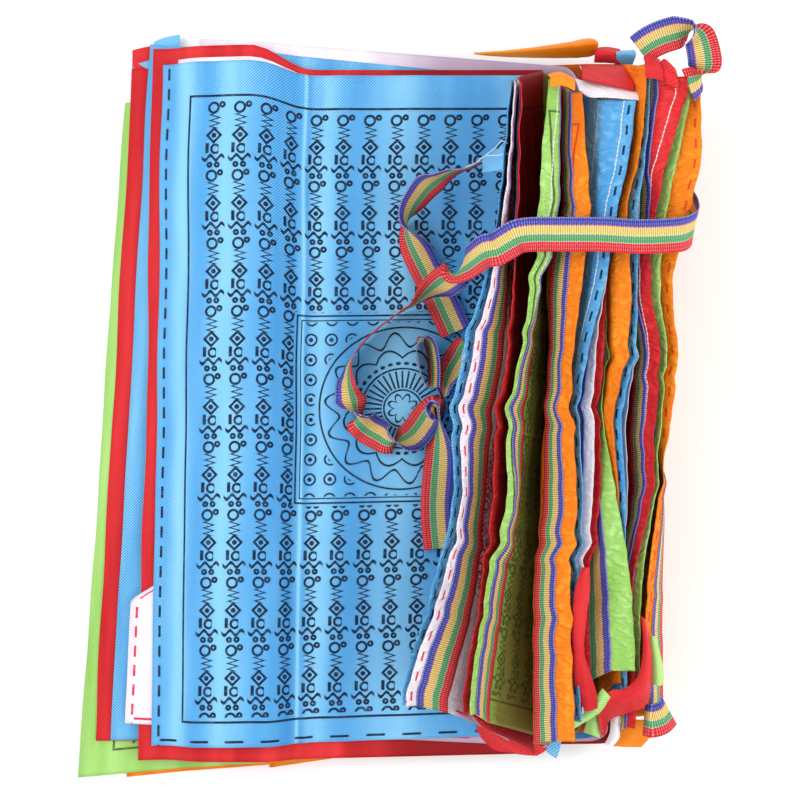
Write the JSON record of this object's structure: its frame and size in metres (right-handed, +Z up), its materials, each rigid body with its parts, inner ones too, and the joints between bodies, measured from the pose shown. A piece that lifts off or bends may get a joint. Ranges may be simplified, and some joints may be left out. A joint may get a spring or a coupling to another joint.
{
  "type": "folded bundle of prayer flags",
  "caption": "Cloth prayer flags folded into a flat stack, their headings bunched upright along one side and tied over with their own striped tape.",
  "frame": {"origin": "on the surface that the stack lies on, under the lowest flag, below the middle of the top flag's length", "axes": "+X from the flags' free edges to their headings, +Y along the headings, +Z up"},
  "size_m": [0.399, 0.476, 0.1135],
  "materials": {
    "cloth_blue": "satin twill, printed in black",
    "cloth_white": "satin twill, printed in red",
    "cloth_red": "satin twill, printed in dark red",
    "cloth_green": "satin twill, printed in dark green",
    "cloth_yellow": "satin twill, printed in red",
    "tape": "ribbed tape woven in blue, yellow, green and red stripes"
  },
  "bodies": {
    "root": {"flag_01_blue": "cloth_blue", "flag_02_white": "cloth_white", "flag_03_red": "cloth_red", "flag_04_green": "cloth_green", "flag_05_yellow": "cloth_yellow", "flag_06_blue": "cloth_blue", "flag_07_white": "cloth_white", "flag_08_red": "cloth_red", "flag_09_green": "cloth_green", "flag_10_yellow": "cloth_yellow", "flag_11_blue": "cloth_blue", "flag_12_white": "cloth_white", "flag_13_red": "cloth_red", "flag_14_green": "cloth_green", "flag_15_yellow": "cloth_yellow", "heading_tape_01": "tape", "heading_tape_02": "tape", "heading_tape_03": "tape", "heading_tape_04": "tape", "heading_tape_05": "tape", "heading_tape_07": "tape", "heading_tape_09": "tape", "heading_tape_13": "tape", "heading_tape_14": "tape", "heading_tape_15": "tape", "tie_band": "tape", "tie_tail": "tape", "tie_fold": "tape", "tie_loop": "tape", "top_turn": "tape", "low_turn": "tape"}
  },
  "joints": []
}
